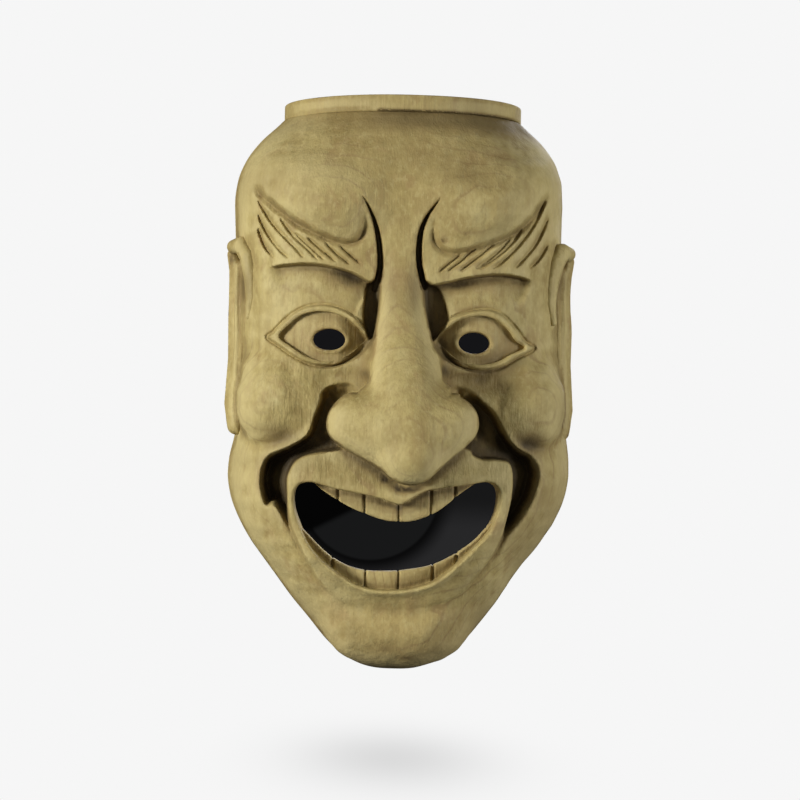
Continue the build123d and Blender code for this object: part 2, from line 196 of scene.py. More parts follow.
# ---- sizes of the carving, in millimetres
# how far in front of the back plane the drawn curves lie
AT_EYE, AT_BROW, AT_HAIR, AT_CREASE, AT_MUZZLE, AT_MOUTH, AT_NOSE = 62, 66, 67, 68, 70, 72, 78
LEVEL_BLUR, TOP_TAPER = 2.4, 0.6  # smoothing between the head's levels, taper above the last
FROWN = [(32, 69, 23, 14.5, 7.6), (48, 82, 14, 9, 1.2)]  # x, z, half width, half height, height
FROWN_EDGE, CREASE_DEPTH = 9.5, 1.7
BROW_HEIGHT, BROW_FADE, SOCKET_DEPTH = 3, 8.5, {-1: 3.9, 1: 4.8}
LID_HEIGHT, LID_CUT = 1.7, 1.5
RECESS_DEPTH, CLIFF_DEPTH, UNDER_EYE_DEPTH = 7, 4.2, {-1: 2, 1: 3.6}
EYE_FOLD = [(50, 13), (44, 2), (40, -8), (38, -17)]  # from the eye's outer corner, on both sides
FURROW_DEPTH, FURROW_SLANT, BACKING = 17, {-1: 1.5, 1: 3.5}, 4.5
MUZZLE_HEIGHT = 4.8
CHIN_CREASE = [(-24, -88), (-10, -91.5), (2, -91.8), (14, -89.5), (24, -84)]
HAIR_DEPTH, SLOT_DEPTH, TOOTH_CUT = 1.7, 7.5, 1.4
DEEPEST, DEEPEST_CUT = 6, 7.0  # how far into the wall furrows and fine cuts may go
# the curls on the nose's wings, each with its depth
CURLS = [
    ([(-30, -6), (-26.6, -3.2), (-22, -2), (-18, -3.2), (-15.4, -7)], 1.9),
    ([(32, -7), (28, -3.8), (23.5, -2.6), (20, -4.2), (18, -7)], 1.7),
]
# balls: middle, then radii
CHEEK, CHEEK_RADII = (47, -43, -10), (18.5, 20.5, 20.5)
CHIN_BALL = (1, -46, -98), (27, 16.5, 15)
NOSE_HOLLOW = (1, -55, -16), (14, 19, 15)
NOSE_LUMPS = [(-16.6, -75, -16.5), (19.2, -75, -15.5), (-6.5, -77.5, -21), (12.5, -77.5, -20.5)]
NOSE_LUMP_RADII = (13.2, 13.3, 12.5)
# the nose's ridge: x, y, z, radius
RIDGE = [
    (-0.8, -58, 66, 7), (-0.8, -60.6, 46, 8), (-0.6, -63.6, 28, 9.4), (-0.2, -65.6, 16, 11.6),
    (0.8, -69, 5, 14.2), (1.8, -76, -8, 15.6), (2.8, -80.8, -19, 15.4), (3.6, -86, -28.2, 12),
]
HOLLOW_TOP, HOLLOW_BOTTOM = 97.5, -104
GOUGE_TURNS, GOUGE_DEPTH = 1440, 1.3
CORD_HOLE = -6.5, 30, 2.5  # y, z, radius
RIM_LEVEL, RIM_LOW, RIM_HIGH, RIM_HALF_WIDTH = 107, 106.9, 113.5, 4.4
# the ears, as for a right one: x, y, z, radius
EAR_BODY = [(66, -31, 44, 4), (65.6, -30, 20, 3.2), (66.2, -30, -8, 3.4), (66.5, -30, -16, 3.8)]
EAR_STRIP = [
    (71, -27, 50, 2.6), (70, -27, 44, 2.7), (69.2, -26, 30, 2.6), (68.8, -26, 8, 2.7),
    (69.2, -27, -10, 3.4), (67.6, -29, -19, 3.6),
]
EAR_FOLD = [
    (63, -40.5, 25, 1.4), (61.8, -41.5, 33, 2.9), (62.6, -41.5, 41, 3.7), (64.5, -40.5, 48.5, 3.8),
    (67.5, -36.5, 53.5, 3.5), (70.8, -30.5, 53, 2.9),
]
EAR_HOLLOW = [(69.6, -35.5, 47.5, 1.8), (68.4, -33.6, 38, 2.1), (67.6, -33, 22, 1.5), (67.6, -33.4, 2, 0.9)]

# ---- tones of the wood
LIGHT_WOOD, DARK_WOOD = (0.505, 0.405, 0.16), (0.32, 0.23, 0.085)
# the colours for the hollows: dirt with painted shade, and for the deepest soot with painted shadow
DIRT_AND_SHADE, SOOT_AND_SHADOW = (0.215, 0.15, 0.058), (0.032, 0.021, 0.009)
RING_PITCH = 0.0031  # metres between growth rings
# hollows that are darkened with dirt and painted shade: radius of the blur that finds them, depth for the
# full tone, share
HOLLOWS = [(1.2, 0.7, 0.2), (3, 2.6, 0.26), (7.5, 7, 0.3)]
# patches set by comparing the brightness of render and photograph, so they make up for differences of shape
# and light too, partly as painted
# shade: x, z, half width, half height, amount; first the darker ones
TONES = [
    (6, 90, 32, 17, 0.26), (24, 74, 10, 12, 0.44), (21, 35, 14, 8, 0.2), (27, 1, 16, 7, 0.08),
    (0, -88, 30, 8, 0.08), (0, 50, 8, 26, 0.1), (60, -46, 10, 16, 0.2), (-24, 38, 16, 6, 0.1),
    (8, -104, 26, 12, 0.34), (34, -92, 7, 12, 0.3), (-56, 78, 10, 8, 0.24), (46, -25, 13, 6, 0.25),
    (4, -28, 14, 10, 0.05), (-50, -32, 16, 4, 0.18), (0, 36, 6, 9, 0.6), (-63, 37, 3, 9, 0.45),
    (-69, 48, 1.8, 2.5, 0.7), (66, 42, 3, 6, 0.3), (14.6, 55.4, 0.9, 0.7, 1.1),
    (32.7, 100, 1.5, 1.1, 0.45), (-4, -105.3, 3, 1.3, 0.4), (4, -109, 3, 1.3, 0.4),
    (-6, -37.6, 1.1, 1, 0.8), (3, -41.6, 5, 1.3, 0.7), (-25, 38, 7, 10, 0.22), (18, 42, 8, 8, 0.12),
    (36, 38, 16, 4, 0.12), (34, 8, 12, 11, 0.52), (-20, 40, 7, 9, 0.34), (-29, 7, 9, 4, 0.42),
    (40, 18, 6, 6, 0.2), (-47, -22, 8, 5, 0.6), (50, -23, 8, 5, 0.65), (50, -65, 7, 14, 0.25),
    (66, -12, 4, 10, 0.3), (1, -49, 10, 4, 0.2), (-30, -54, 5, 8, 0.2), (-38, -31, 9, 5, 0.22),
    (-47, -48, 6, 12, 0.2), (40, -52, 5, 12, 0.26), (62, 84, 7, 8, 0.14), (58, -52, 10, 20, 0.08),
    (-1, -52, 22, 5, 0.1), (4, -76, 14, 10, 0.16), (32, -56, 6, 12, 0.16), (0, -14, 8, 20, 0.06),
]
# and the lighter ones, partly painted highlight
PALE = [
    (-23, 70, 8, 13, 1), (-38, 82, 12, 7, 0.7), (-24, -84, 8, 7, 0.9), (-47, 25, 10, 8, 0.5),
    (-64, -32, 5, 12, 0.6), (40, 54, 14, 5, 0.7), (-8, 60, 4, 12, 0.6), (-18, -29, 8, 4, 1),
    (20, -30, 7, 4, 0.7), (-42, 103, 8, 4, 1), (-9, -24, 8, 8, 0.4), (58, 22, 6, 10, 0.4),
]


# ---- field tools
def join(a, b, k):
    """The union of two fields, with a fillet of about k."""
    h = np.clip(0.5 + 0.5 * (b - a) / k, 0.0, 1.0)
    return b + (a - b) * h - k * h * (1.0 - h)


def meet(a, b, k):
    """What two fields share, with an edge rounded by about k."""
    return -join(-a, -b, k)


def ease(v, lo, hi):
    t = np.clip((v - lo) / (hi - lo), 0.0, 1.0)
    return t * t * (3.0 - 2.0 * t)


def ellipsoid(x, y, z, middle, radii):
    u, v, w = (x - middle[0]) / radii[0], (y - middle[1]) / radii[1], (z - middle[2]) / radii[2]
    r = np.sqrt(u * u + v * v + w * w)
    return (r - 1.0) * min(radii)


def chain(x, y, z, beads):
    """A limb of tapered lengths between beads (x, y, z, radius)."""
    best = None
    for (x0, y0, z0, r0), (x1, y1, z1, r1) in zip(beads, beads[1:]):
        ex, ey, ez = x1 - x0, y1 - y0, z1 - z0
        px, py, pz = x - x0, y - y0, z - z0
        t = np.clip((px * ex + py * ey + pz * ez) / (ex * ex + ey * ey + ez * ez), 0.0, 1.0)
        d = np.sqrt((px - t * ex) ** 2 + (py - t * ey) ** 2 + (pz - t * ez) ** 2) - (r0 + t * (r1 - r0))
        best = d if best is None else np.minimum(best, d)
    return best


def drawn(points, depth):
    """Points of the drawing, moved to where they are on a surface this far in front of the back plane."""
    p = np.array(points, float)
    near = (SIGHTLINE - depth) / (SIGHTLINE - TRUE_DEPTH)
    return np.stack([ASIDE + near * (p[:, 0] - ASIDE), near * p[:, 1]], 1)


def smooth_line(points, closed=False, n=8):
    """A Catmull-Rom line through the points."""
    p = np.array(points, float)
    p = np.vstack([p[-1], p, p[0], p[1]]) if closed else np.vstack([2 * p[0] - p[1], p, 2 * p[-1] - p[-2]])
    a, b, c, d = p[:-3, None], p[1:-2, None], p[2:-1, None], p[3:, None]
    t = np.linspace(0, 1, n, endpoint=False)[None, :, None]
    q = 0.5 * (2 * b + (c - a) * t + (2 * a - 5 * b + 4 * c - d) * t**2 + (3 * b - a - 3 * c + d) * t**3)
    q = q.reshape(-1, 2)
    return q if closed else np.vstack([q, p[-2]])


class Sheet:
    """A flat grid over x and z on which the front of the mask is drawn."""

    def __init__(self, xs, zs):
        self.xs, self.zs = xs, zs
        self.x, self.z = np.meshgrid(xs, zs)

    def line(self, points, depth=64.0, closed=False, reach=14.0, n=8):
        """Distance to a drawn line, its side (positive on the line's left) and the place along it."""
        q = smooth_line(drawn(points, depth), closed, n)
        if closed:
            q = np.vstack([q, q[0]])
        i0, i1 = np.searchsorted(self.xs, (q[:, 0].min() - reach, q[:, 0].max() + reach))
        j0, j1 = np.searchsorted(self.zs, (q[:, 1].min() - reach, q[:, 1].max() + reach))
        x, z = self.x[j0:j1, i0:i1].ravel(), self.z[j0:j1, i0:i1].ravel()
        along = np.diff(q, axis=0)
        normal = np.stack([-along[:, 1], along[:, 0]], 1) / (np.hypot(*along.T)[:, None] + 1e-9)
        wide = np.vstack([normal[-1] if closed else normal[0], normal, normal[0] if closed else normal[-1]])
        corner = wide[:-1] + wide[1:]
        best, side, place = np.full(x.size, BIG * BIG), np.ones(x.size), np.zeros(x.size)
        odd = np.zeros(x.size, bool)
        for k, ((ax, az), (bx, bz)) in enumerate(zip(q, q[1:])):
            ex, ez = bx - ax, bz - az
            px, pz = x - ax, z - az
            t = np.clip((px * ex + pz * ez) / (ex * ex + ez * ez + 1e-9), 0, 1)
            dx, dz = px - t * ex, pz - t * ez
            d = dx * dx + dz * dz
            near = d < best
            before, after = t[:, None] <= 0, t[:, None] >= 1
            nx, nz = np.where(before, corner[k], np.where(after, corner[k + 1], normal[k])).T
            best = np.where(near, d, best)
            side = np.where(near, np.where(dx * nx + dz * nz < 0, -1.0, 1.0), side)
            place = np.where(near, (k + t) / (len(q) - 1), place)
            if closed and ez:
                odd ^= ((az > z) != (bz > z)) & (px < ex * pz / ez)

        def whole(values, rest):
            sheet = np.full(self.x.shape, rest)
            sheet[j0:j1, i0:i1] = values.reshape(j1 - j0, i1 - i0)
            return sheet

        d = whole(np.sqrt(best), BIG)
        if closed:
            d = np.where(whole(odd, False), -d, d)
        return d, whole(side, 1.0), whole(place, 0.0)

    def area(self, points, depth, reach=14.0, n=8):
        """Distance to a closed drawn line, below zero within it."""
        return self.line(points, depth, True, reach, n)[0]


def scoops(u, v, size, seed):
    """Shallow gouge cuts: how far each place is from the bottom of its cut, 0 to about 1."""
    rng = np.random.default_rng(seed)
    jitter = rng.random((64, 64, 2))
    gu, gv = np.floor(u / size).astype(int), np.floor(v / size).astype(int)
    best = np.full(np.broadcast(u, v).shape, 9.0)
    for a in (-1, 0, 1):
        for b in (-1, 0, 1):
            j = jitter[(gu + a) % 64, (gv + b) % 64]
            du = u / size - (gu + a + 0.15 + 0.7 * j[..., 0])
            dv = v / size - (gv + b + 0.15 + 0.7 * j[..., 1])
            best = np.minimum(best, du * du + dv * dv)
    return best


def ripple(u, v, wave, seed, n=9):
    """A smooth uneven field of about -1 to 1."""
    rng = np.random.default_rng(seed)
    total = 0.0
    for angle, phase, stretch in rng.random((n, 3)):
        k = 2 * math.pi / (wave * (0.6 + stretch))
        across = u * math.cos(TURN * angle) + v * math.sin(TURN * angle)
        total = total + np.sin(k * across + TURN * phase)
    return total / math.sqrt(n)


def surface(values, low, step):
    """The zero surface of a field on a grid (z, y, x), as points and four-sided faces (surface nets)."""
    inside = values < 0
    count = np.zeros(tuple(n - 1 for n in inside.shape), np.int8)
    corners = [(a, b, c) for a in (0, 1) for b in (0, 1) for c in (0, 1)]

    def cut(arr, *starts):
        return arr[tuple(slice(a, size - 1 + a) for a, size in zip(starts, arr.shape))]

    for a, b, c in corners:
        count += cut(inside, a, b, c)
    k, j, i = np.nonzero((count > 0) & (count < 8))
    number = np.full(count.shape, -1, np.int32)
    number[k, j, i] = np.arange(len(k))
    at = {(a, b, c): values[k + a, j + b, i + c] for a, b, c in corners}
    total, hits = np.zeros((len(k), 3)), np.zeros(len(k))
    for p in corners:
        for axis in range(3):
            if p[axis]:
                continue
            q = tuple(1 if n == axis else p[n] for n in range(3))
            va, vb = at[p], at[q]
            cross = (va < 0) != (vb < 0)
            t = np.where(cross, va / np.where(cross, va - vb, 1.0), 0.0)
            for n in range(3):
                total[:, n] += np.where(cross, p[n] + (t if n == axis else 0.0), 0.0)
            hits += cross
    spots = total / hits[:, None] + np.stack([k, j, i], 1)
    points = low + spots[:, ::-1] * step
    faces = []
    for axis in range(3):
        others = [n for n in range(3) if n != axis]
        a = [slice(1, -1)] * 3
        b = [slice(1, -1)] * 3
        a[axis], b[axis] = slice(0, -1), slice(1, None)
        first, second = inside[tuple(a)], inside[tuple(b)]
        idx = np.argwhere(first != second)
        flip = first[tuple(idx.T)]
        base = idx + 1
        base[:, axis] -= 1
        ring = []
        for da, db in ((0, 0), (-1, 0), (-1, -1), (0, -1)):
            c = base.copy()
            c[:, others[0]] += da
            c[:, others[1]] += db
            ring.append(number[tuple(c.T)])
        quad = np.stack(ring, 1)
        if axis == 1:
            flip = ~flip
        faces.append(np.where(flip[:, None], quad[:, ::-1], quad))
    return points, np.vstack(faces)


STEP = 0.5
MAP_X, MAP_Z = np.arange(-78, 78, STEP), np.arange(-122, 120, STEP)
front_map = np.zeros((len(MAP_Z), len(MAP_X)))


def nearest(at, cells):
    """The index of the nearest of evenly spaced cells to each place."""
    return np.clip(((at - cells[0]) / (cells[1] - cells[0])).round().astype(int), 0, len(cells) - 1)


def note_front(values, xs, ys, zs):
    """Adds a piece to the map of how far forward the first surface is at each x and z."""
    inside = values < 0
    first = np.maximum(inside.argmax(1), 1)[:, None, :]
    before, after = (np.take_along_axis(values, n, 1)[:, 0] for n in (first - 1, first))
    part = before / np.where(before - after == 0, 1, before - after)
    reach = np.where(inside.any(1), -(ys[0] + (first[:, 0] - 1 + part) * (ys[1] - ys[0])), 0.0)
    i0, i1 = np.searchsorted(MAP_X, (xs[0], xs[-1]))
    j0, j1 = np.searchsorted(MAP_Z, (zs[0], zs[-1]))
    cells = np.ix_(nearest(MAP_Z[j0:j1], zs), nearest(MAP_X[i0:i1], xs))
    front_map[j0:j1, i0:i1] = np.maximum(front_map[j0:j1, i0:i1], reach[cells])


def mesh_of(name, points, faces):
    """A mesh in metres, from points in millimetres and four-sided faces."""
    mesh = bpy.data.meshes.new(name)
    mesh.vertices.add(len(points))
    mesh.vertices.foreach_set("co", (points * 0.001).astype(np.float32).ravel())
    mesh.loops.add(len(faces) * 4)
    mesh.loops.foreach_set("vertex_index", faces.astype(np.int32).ravel())
    mesh.polygons.add(len(faces))
    mesh.polygons.foreach_set("loop_start", np.arange(0, len(faces) * 4, 4, dtype=np.int32))
    mesh.update(calc_edges=True)
    mesh.validate()
    return mesh


def sculpt(name, field, low, high, slot, replaced):
    """Makes a piece from a field(x, y, z) in millimetres, within a box, in place of a CAD node."""
    xs, ys, zs = (np.arange(low[n] - VOXEL, high[n] + 2 * VOXEL, VOXEL) for n in range(3))
    values = np.empty((len(zs), len(ys), len(xs)), np.float32)
    prepared = field(Sheet(xs, zs))
    x, y = xs[None, None, :].astype(np.float32), ys[None, :, None].astype(np.float32)

    def slab(k):
        rows = slice(k, k + SLAB)
        values[rows] = prepared(x, y, zs[rows, None, None].astype(np.float32), rows)

    with ThreadPoolExecutor(4) as pool:
        list(pool.map(slab, range(0, len(zs), SLAB)))
    note_front(values, xs, ys, zs)
    points, faces = surface(values, np.array([xs[0], ys[0], zs[0]]), VOXEL)
    piece = bpy.data.objects.new(name, mesh_of(name, points, faces))
    bpy.context.scene.collection.objects.link(piece)
    triangles = len(faces) * 2
    if triangles > TRIANGLES:
        piece.modifiers.new("thin", "DECIMATE").ratio = TRIANGLES / triangles
        seen = piece.evaluated_get(bpy.context.evaluated_depsgraph_get())
        lean = bpy.data.meshes.new_from_object(seen)
        piece.modifiers.clear()
        piece.data = lean
    piece.data.polygons.foreach_set("use_smooth", np.ones(len(piece.data.polygons), bool))
    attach(piece, "root")
    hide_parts(replaced)
    return piece


# ---- shapes
def head_sizes(z):
    """Half widths and depth of the head at each height, smoothed between its levels."""
    fine = np.arange(-140, 140, 1.0)
    kernel = np.exp(-0.5 * (np.arange(-12, 13) / LEVEL_BLUR) ** 2)
    kernel /= kernel.sum()
    sizes = []
    for column in (1, 2, 3):
        raw = np.interp(fine, HEAD[:, 0], HEAD[:, column])
        low, high = fine < HEAD[0, 0], fine > HEAD[-1, 0]
        raw[low] += fine[low] - HEAD[0, 0]
        raw[high] -= (fine[high] - HEAD[-1, 0]) * TOP_TAPER
        sizes.append(np.interp(z, fine, np.convolve(np.pad(raw, 12, "edge"), kernel, "valid")))
    return sizes


def plan(x, y, z, grow=0.0):
    """Distance from the head's side, in its level's plane, eased by the side's slope."""
    left, right, deep = head_sizes(z)
    _, right_above, deep_above = head_sizes(z + 1.0)
    slope = (deep_above - deep) * 0.6 + (right_above - right) * 0.4
    lean = (1.0 / np.sqrt(1.0 + slope**2)).astype(np.float32)
    wide = np.where(x < 0, left, right).astype(np.float32) + grow
    deep = (deep + grow).astype(np.float32)
    # exponent of the level's superellipse: squarest at the cheeks, rounder at the crown and chin
    p = (3.0 - 0.8 * ease(z, 80, 104) - 0.4 * ease(z, -70, -108)).astype(np.float32)
    u, v = np.abs(x) / wide, np.maximum(-y, 0) / deep
    r = (np.maximum(u, 1e-4) ** p + np.maximum(v, 1e-4) ** p) ** (1.0 / p)
    length = np.sqrt(x * x + np.minimum(y, 0) ** 2) + 1e-4
    return (length - length / np.maximum(r, 1e-4)) * lean


def mound(x, z, middle_x, middle_z, half_width, half_height):
    """A round hill, 1 in its middle."""
    return np.exp(-(((x - middle_x) / half_width) ** 2) - ((z - middle_z) / half_height) ** 2)


def mounds(x, z, table, s=1):
    """The sum of a table's hills: x, z, half width, half height, amount."""
    return sum(row[4] * mound(x, z, s * row[0], *row[1:4]) for row in table)


def nose_outline(sheet):
    """Signed distance to the outline within which the nose is kept; it's open above."""
    outline = np.vstack([[(-60, 90), (-60, 8)], smooth_line(NOSE_EDGE, n=6), [(60, 8), (60, 90)]])
    return sheet.area(outline, AT_NOSE, reach=40, n=1)


def curl_ends(x, z):
    """1 above the nose's wings, where the furrows run out, and 0 away from there."""
    return ease(np.hypot(np.abs(x + 0.5) - 20, (z + 4) * 1.3), 12, 5)


def frown(sheet, s):
    """The bulge over a brow, which ends in a dome's edge and a groove at the crease."""
    d, side, t = sheet.line(CREASE[s], AT_CREASE, reach=34)
    above = d * side * (-s)
    fade = ease(t, 0.0, 0.12) * ease(t, 1.0, 0.74)
    bulge = mounds(sheet.x, sheet.z, FROWN, s)
    dome = np.sqrt(np.clip(1 - (1 - np.clip((above + 0.3) / FROWN_EDGE, 0, 1)) ** 2, 0, 1))
    dome = np.where(d < BIG, dome, ease(sheet.z, 60, 66))
    groove = CREASE_DEPTH * np.clip(1 - np.abs(above + 0.4) / 2.0, 0, 1) * fade * (d < BIG)
    return bulge * (1 - fade + fade * dome) - groove


def brow(sheet, s):
    """The brow, proudest at its lower edge, and the socket's fall below it."""
    d, side, t = sheet.line(BROW_EDGE[s], AT_BROW, reach=24)
    over = d * side * (-s)
    ends = ease(t, 0.0, 0.12) * ease(t, 1.0, 0.97) * (d < BIG)
    proud = BROW_HEIGHT * np.exp(-np.maximum(over, 0) / BROW_FADE) * ease(over, -0.5, 0.6)
    fall = SOCKET_DEPTH[s] * np.exp(np.minimum(over, 0) / BROW_FADE) * ease(over, 0.4, -0.7)
    return (proud - fall) * ends


def lids(sheet, s):
    """A band round the eye between two cut lines, and the swell of the lid above it."""
    lid = sheet.area(LID[s], AT_EYE)
    eye = sheet.area(EYE[s], AT_EYE)
    swell = 1.3 * np.exp(-np.maximum(lid, 0) / 5.0) * ease(sheet.z, 8, 22) * ease(s * sheet.x, 13, 20)
    line = LID_CUT * np.clip(1 - np.abs(lid) / 0.95, 0, 1)
    return LID_HEIGHT * ease(-lid, -0.3, 0.7) + swell - line - 0.5 * np.exp(-((eye / 0.8) ** 2))


def socket(sheet, s):
    """The socket's inner corner, the groove from it under the eye, and the fold down the cheek."""
    x, z = sheet.x, sheet.z
    recess = sheet.area(RECESS[s], AT_EYE)
    up = -RECESS_DEPTH * ease(-recess, -0.5, 0.9) - ease(-recess, 0, 3)
    d, side, t = sheet.line(CLIFF[s], AT_EYE, reach=18)
    eyeward = d * side * s
    deep = CLIFF_DEPTH * ease(t, 0.36, 0.5) * ease(t, 1.0, 0.62)
    up -= deep * ease(eyeward, -0.7, 0.5) * ease(eyeward, 3.4, 0.8) * (d < BIG)
    up -= UNDER_EYE_DEPTH[s] * mound(x, z, s * 27, 0.5, 15, 6)
    d, _, t = sheet.line([(s * across, height) for across, height in EYE_FOLD], reach=12)
    return up - 0.8 * np.exp(-((d / 3.6) ** 2)) * ease(t, 0, 0.3) * ease(t, 1, 0.4)


def furrow(sheet, s, muzzle):
    """The depth of the furrow between cheek, nose wing and muzzle."""
    z = sheet.z
    d = sheet.area(FURROW[s], AT_EYE)
    depth = FURROW_DEPTH - 9.0 * ease(z, -48, -62) - 6.0 * ease(z, -62, -80)
    depth = depth * (1 - 0.6 * curl_ends(sheet.x, z))
    slant = 3.2 + FURROW_SLANT[s] * ease(z, -22, -34) + 3.0 * ease(z, -50, -70)
    return depth * ease(-d, -1.0, slant) * ease(muzzle, -0.2, 0.9)


def front_relief(sheet):
    """How far the carving raises the front of the head."""
    x, z = sheet.x, sheet.z
    muzzle = sheet.area(MUZZLE, AT_MUZZLE)
    mouth = sheet.area(MOUTH, AT_MOUTH, reach=30)
    up = np.zeros(x.shape)
    for s in (-1, 1):
        up += frown(sheet, s) + brow(sheet, s) + lids(sheet, s) + socket(sheet, s)
        up -= furrow(sheet, s, muzzle)
    up += MUZZLE_HEIGHT * ease(-muzzle, -0.5, 0.8) * ease(z, -92, -62)
    up += 0.8 * np.exp(-(((mouth - 0.9) / 1.2) ** 2)) * ease(z, -52, -64)  # rim of the lower lip
    d, _, t = sheet.line(CHIN_CREASE, AT_BROW, reach=12)
    up -= 1.3 * np.exp(-((d / 4.4) ** 2)) * np.sin(np.pi * t)
    # the hand's unevenness, and knife cuts
    up += 0.3 * ripple(x, z, 26, 3) + 0.14 * ripple(x, z, 9, 5)
    up -= 0.2 * scoops(x, z * 0.8, 5.5, 11)
    return up.astype(np.float32)


def furrows(sheet):
    """Distance to the outlines of both furrows."""
    return np.minimum(*[sheet.area(FURROW[s], AT_EYE, reach=20) for s in (-1, 1)])


def furrow_backing(sheet):
    """How much further back the wood lies behind the furrows, in millimetres."""
    return (BACKING * ease(furrows(sheet), 5, 0)).astype(np.float32)


def furrow_soot_and_shade(sheet):
    """Dirt and painted shade in the furrows, darkest along the muzzle and the nose."""
    muzzle = sheet.area(MUZZLE, AT_MUZZLE, reach=20)
    nose = nose_outline(sheet)
    near = ease(np.minimum(np.maximum(muzzle, 0), np.maximum(nose, 0)), 9.0, 1.5)
    clear = ease(muzzle, -0.5, 0.5) * ease(nose, 0.0, 0.8)
    return ease(-furrows(sheet), -2.0, 3.5) * (0.36 + 0.52 * near) * ease(sheet.z, -78, -50) * clear


def fine_cuts(sheet):
    """Narrow cuts through everything on the front: hairs of the brows, slots, curls of the nose."""
    cut = np.zeros(sheet.x.shape)
    for s in (-1, 1):
        for hair in HAIRS[s]:
            d, _, t = sheet.line(hair, AT_HAIR, reach=3)
            size = np.sqrt(np.clip(np.minimum(t, 1 - t) / 0.12, 0, 1))
            groove = np.clip(1.15 - d / (0.35 + 0.4 * size), 0, 1)
            cut = np.maximum(cut, HAIR_DEPTH * groove * (0.35 + 0.65 * size))
        d, _, t = sheet.line(SLOT[s], AT_BROW, reach=6)
        half = 0.1 + 0.95 * ease(t, 0.02, 0.6) - 0.25 * ease(t, 0.75, 1)
        ends = ease(t, 0.0, 0.3) * ease(t, 1.0, 0.9)
        cut = np.maximum(cut, SLOT_DEPTH * ease(half - d, -0.35, 0.45) * ends)
    for curl, depth in CURLS:
        d, _, t = sheet.line(curl, AT_MUZZLE, reach=5)
        cut = np.maximum(cut, depth * np.clip(1 - d / 1.7, 0, 1) * ease(t, 1, 0.55))
    return cut.astype(np.float32)


def layer(values):
    """A drawn value as a layer that applies at every depth."""
    return values.astype(np.float32)[:, None, :]


def face(sheet):
    up, cut = front_relief(sheet)[:, None, :], fine_cuts(sheet)[:, None, :]
    corners = 1.3 * ease(np.abs(sheet.x - 0.5), 24, 36)  # the mouth is wider there than drawn
    mouth = layer(sheet.area(MOUTH, AT_MOUTH, reach=30) - corners)
    eyes = [layer(sheet.area(EYE[s], AT_EYE, reach=12)) for s in (-1, 1)]
    nose_edge = layer(nose_outline(sheet))
    backing = furrow_backing(sheet)[:, None, :]
    turns = np.linspace(-math.pi, math.pi, GOUGE_TURNS + 1)
    gouge = scoops(turns[None, :] * 62, sheet.zs[:, None] * 0.7, 6.5, 23).astype(np.float32)

    def values(x, y, z, rows):
        head = plan(x, y, z)
        body = head
        for s in (-1, 1):
            cheek = ellipsoid(x, y, z, (s * CHEEK[0] + 0.5, *CHEEK[1:]), CHEEK_RADII)
            body = join(body, cheek, 1.5 + 8.0 * ease(z, -26, -4))
        body = join(body, ellipsoid(x, y, z, *CHIN_BALL), 8.0)
        body = body - up[rows] * ease(-y, 18, 36)
        body = join(body, head + DEEPEST + backing[rows], 0.8)
        nose = chain(x, y, z, RIDGE)
        for middle in NOSE_LUMPS:
            nose = join(nose, ellipsoid(x, y, z, middle, NOSE_LUMP_RADII), 7.0)
        nose = meet(nose, nose_edge[rows], 3.0)
        fillet = 1.2 + 7.0 * ease(z, -5, 4) - 5.6 * ease(z, 7, 16) + 2.0 * ease(z, 34, 56)
        body = join(body, nose, fillet)
        body = np.minimum(body + cut[rows] * ease(-y, 34, 46), np.maximum(body, head + DEEPEST_CUT))
        body = meet(body, z - CROWN, 1.0)
        body = meet(body, CHIN - z, 6.0)
        body = meet(body, -(mouth[rows] + 0.03 * (y + 76)), 1.2)
        for eye in eyes:
            body = meet(body, -eye[rows], 0.5)
        inner = plan(x, y, z, -WALL)
        inner = join(inner, ellipsoid(x, y, z, *NOSE_HOLLOW), 5.0)
        inner = inner + backing[rows] * ease(-y, 20, 34)
        inner = meet(inner, z - HOLLOW_TOP, 5.0)
        inner = meet(inner, HOLLOW_BOTTOM - z, 6.0)
        turn = ((np.arctan2(x, -y) / (2 * math.pi) + 0.5) * GOUGE_TURNS).astype(np.int32)[0]
        inner = inner + GOUGE_DEPTH * gouge[rows][:, turn]
        body = meet(body, -inner, 0.8)
        body = meet(body, y, 0.6)
        hole_y, hole_z, hole_radius = CORD_HOLE
        tube = np.sqrt((y - hole_y) ** 2 + (z - hole_z) ** 2) - hole_radius
        return meet(body, -tube, 0.4)

    return values


def crown(sheet):
    def values(x, y, z, rows):
        outer = plan(x, y, np.full_like(z, RIM_LEVEL))
        band = np.abs(outer + RIM_HALF_WIDTH) - RIM_HALF_WIDTH
        droop = ease(-x, 0, 50)
        low, high = RIM_LOW - 0.8 * droop, RIM_HIGH - 0.6 * droop
        band = meet(band, np.maximum(low - z, z - high), 0.5)
        return meet(band, y, 0.5)

    return values


def behind_wall(x, y, z):
    """Above zero behind the back of the wall, where eyeballs and teeth end."""
    return -(plan(x, y, z, -WALL) + 0.2)


def eyeball(s):
    def prepared(sheet):
        x, z = sheet.x, sheet.z
        eye = layer(sheet.area(EYE[s], AT_EYE, reach=12))
        sx, sz = drawn([SIGHT[s]], AT_EYE)[0]
        ring = np.sqrt(((x - sx) / 6.3) ** 2 + ((z - sz) / 4.2) ** 2)
        sink = 0.5 + 0.005 * (z - 17.0) ** 2 + 5.2 * ease(s * x, 26, 12)
        collar = np.exp(-(((ring - 1.2) / 0.16) ** 2)) * (0.35 + 0.65 * ease(z, sz + 2, sz - 3))
        sink, hole = layer(sink - 0.7 * collar), layer((ring - 1) * 4.6)

        def values(x, y, z, rows):
            body = meet(plan(x, y, z) + sink[rows], eye[rows] - 1.6, 0.4)
            body = meet(body, behind_wall(x, y, z), 0.5)
            return meet(body, -hole[rows], 0.8)

        return values

    return prepared


